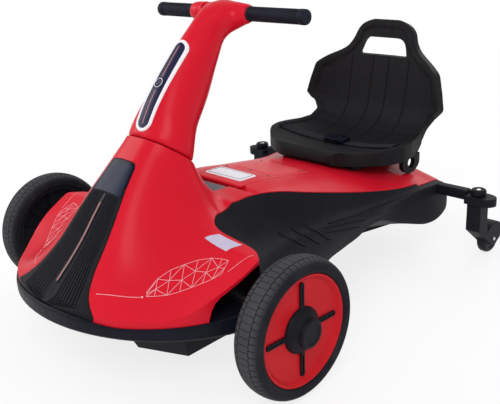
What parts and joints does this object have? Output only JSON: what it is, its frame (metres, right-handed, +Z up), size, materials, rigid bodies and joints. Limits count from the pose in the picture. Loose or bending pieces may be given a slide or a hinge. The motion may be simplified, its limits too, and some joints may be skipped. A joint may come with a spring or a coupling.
{
  "type": "ride-on car",
  "caption": "Child's electric ride-on kart with large front wheels, a leaning steering column with grips, a bucket seat on a low body and swivel casters at the back.",
  "frame": {"origin": "on the ground under the middle of the kart's bounding box", "axes": "+X to the driver's left, -Y to the nose, +Z up; the kart is mirror-symmetric about X apart from the throttle collar"},
  "size_m": [0.686, 0.8852, 0.5211],
  "materials": {
    "red_gloss_plastic": "gloss",
    "red_wheel_plastic": "satin",
    "black_textured_plastic": "fine texture",
    "black_gloss_plastic": "gloss",
    "tyre_rubber": "matte",
    "grip_rubber": "matte",
    "steel_pin": "brushed",
    "white_trim": "gloss",
    "navy_panel": "gloss",
    "light_lens": "frosted",
    "mat_grey": "matte",
    "belt_webbing": "woven",
    "label_white": "satin"
  },
  "bodies": {
    "kart": {"body_shell": "red_gloss_plastic", "front_bumper": "black_textured_plastic", "underbody_pan": "black_textured_plastic", "footwell_left": "black_textured_plastic", "footwell_right": "black_textured_plastic", "arch_liner_left": "black_textured_plastic", "arch_liner_right": "black_textured_plastic", "grille_panel": "black_textured_plastic", "display_panel": "black_gloss_plastic", "light_strip": "light_lens", "deck_mat": "mat_grey", "battery_hatch": "red_gloss_plastic", "hatch_label": "label_white", "drive_housing_left": "black_textured_plastic", "drive_housing_right": "black_textured_plastic", "axle_left": "steel_pin", "axle_right": "steel_pin", "rear_bar": "black_textured_plastic", "caster_bracket_left": "black_textured_plastic", "caster_bracket_right": "black_textured_plastic", "seat_mount": "black_textured_plastic", "seat_shell": "black_textured_plastic", "belt_strap": "belt_webbing", "belt_buckle": "black_textured_plastic", "belt_loop_left": "black_textured_plastic", "belt_loop_right": "black_textured_plastic"},
    "steering_head": {"steering_column": "red_gloss_plastic", "steering_shaft": "steel_pin", "grip_left": "grip_rubber", "grip_right": "grip_rubber", "throttle_collar": "red_gloss_plastic", "capsule_frame": "white_trim", "capsule_panel": "navy_panel"},
    "front_wheel_left": {"tyre_left": "tyre_rubber", "rim_left": "black_textured_plastic", "wheel_disc_left": "red_wheel_plastic", "hub_cap_left": "black_textured_plastic"},
    "caster_swivel_left": {"caster_stem_left": "steel_pin", "caster_cap_left": "black_textured_plastic", "caster_fork_left": "black_textured_plastic", "caster_axle_left": "steel_pin"},
    "rear_wheel_left": {"caster_wheel_left": "black_textured_plastic"},
    "front_wheel_right": {"tyre_right": "tyre_rubber", "rim_right": "black_textured_plastic", "wheel_disc_right": "red_wheel_plastic", "hub_cap_right": "black_textured_plastic"},
    "caster_swivel_right": {"caster_stem_right": "steel_pin", "caster_cap_right": "black_textured_plastic", "caster_fork_right": "black_textured_plastic", "caster_axle_right": "steel_pin"},
    "rear_wheel_right": {"caster_wheel_right": "black_textured_plastic"}
  },
  "joints": [
    {"name": "front_wheel_left_spin", "type": "hinge", "parent": "kart", "child": "front_wheel_left", "pos_m": [0.31, -0.2282, 0.105], "axis": [1, 0, 0], "continuous": true},
    {"name": "caster_left_swivel", "type": "hinge", "parent": "kart", "child": "caster_swivel_left", "pos_m": [0.282, 0.3288, 0.122], "axis": [0, 0, 1], "continuous": true},
    {"name": "rear_wheel_left_spin", "type": "hinge", "parent": "caster_swivel_left", "child": "rear_wheel_left", "pos_m": [0.282, 0.3738, 0.029], "axis": [1, 0, 0], "continuous": true},
    {"name": "front_wheel_right_spin", "type": "hinge", "parent": "kart", "child": "front_wheel_right", "pos_m": [-0.31, -0.2282, 0.105], "axis": [1, 0, 0], "continuous": true},
    {"name": "caster_right_swivel", "type": "hinge", "parent": "kart", "child": "caster_swivel_right", "pos_m": [-0.282, 0.3288, 0.122], "axis": [0, 0, 1], "continuous": true},
    {"name": "rear_wheel_right_spin", "type": "hinge", "parent": "caster_swivel_right", "child": "rear_wheel_right", "pos_m": [-0.282, 0.3738, 0.029], "axis": [1, 0, 0], "continuous": true},
    {"name": "steering", "type": "hinge", "parent": "kart", "child": "steering_head", "pos_m": [0, -0.20147, 0.30899], "axis": [0, 0.6157, 0.788], "range_deg": [-30, 30]}
  ]
}
